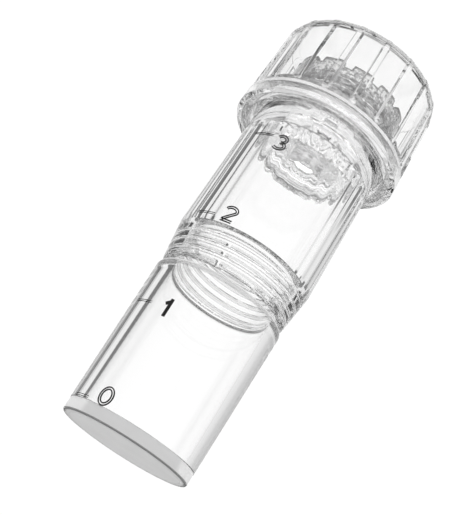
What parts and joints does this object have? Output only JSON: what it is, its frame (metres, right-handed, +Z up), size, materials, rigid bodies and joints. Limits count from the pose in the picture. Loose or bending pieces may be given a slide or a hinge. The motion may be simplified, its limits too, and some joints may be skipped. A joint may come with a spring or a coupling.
{
  "type": "micro-needle serum applicator bottle",
  "caption": "Clear graduated serum bottle in two screwed halves, with a spring-loaded micro-needle stamp head under a ribbed screw cap.",
  "frame": {"origin": "centre of the flat bottom face", "axes": "+Z up the bottle, from the base to the cap; the scale faces -Y, a little to -X"},
  "size_m": [0.019, 0.019, 0.0477],
  "materials": {
    "clear_body": "crystal clear polished moulding",
    "clear_cap": "crystal clear polished moulding",
    "clear_insert": "clear moulding",
    "frosted_base": "clear disc with a pale welded face",
    "scale_print": "dark graduation marks",
    "silicone": "translucent silicone",
    "valve_plastic": "natural white plastic",
    "steel": "bright stainless steel"
  },
  "bodies": {
    "container_body": {"base_disc": "frosted_base", "container": "clear_body", "lower_scale": "scale_print"},
    "joint_seal": {"joint_gasket": "silicone"},
    "barrel_body": {"upper_barrel": "clear_body", "upper_scale": "scale_print", "outlet_plug": "clear_insert", "plug_o_ring": "silicone", "valve_seat_washer": "silicone", "spring_cup": "clear_insert", "return_spring": "steel", "guard_seal": "silicone", "needle_guard": "clear_insert"},
    "needle_body": {"needle_plate": "clear_insert", "needles": "steel", "valve_stem": "valve_plastic"},
    "cap_seal": {"cap_seal_ring": "silicone"},
    "cap_body": {"outer_cap": "clear_cap", "cap_thread_insert": "clear_insert", "cap_retaining_ring": "clear_cap"}
  },
  "joints": [
    {"name": "barrel_rise", "type": "slide", "parent": "container_body", "child": "joint_seal", "axis": [0, 0, 1], "range_m": [0, 0.0039]},
    {"name": "barrel_unscrew", "type": "hinge", "parent": "joint_seal", "child": "barrel_body", "pos_m": [0, 0, 0.0195], "axis": [0, 0, 1], "range_deg": [0, 1441]},
    {"name": "needle_press", "type": "slide", "parent": "barrel_body", "child": "needle_body", "axis": [0, 0, -1], "range_m": [0, 0.0006], "stiffness_N_per_m": 500, "springref_m": -0.0006, "deforming": ["return_spring"]},
    {"name": "cap_rise", "type": "slide", "parent": "barrel_body", "child": "cap_seal", "axis": [0, 0, 1], "range_m": [0, 0.00351]},
    {"name": "cap_unscrew", "type": "hinge", "parent": "cap_seal", "child": "cap_body", "pos_m": [0, 0, 0.0405], "axis": [0, 0, 1], "range_deg": [0, 811]}
  ],
  "couplings": [
    {"joint": "barrel_unscrew", "follows": "barrel_rise", "rad_per_m": 6444.3},
    {"joint": "cap_unscrew", "follows": "cap_rise", "rad_per_m": 4027.7}
  ]
}
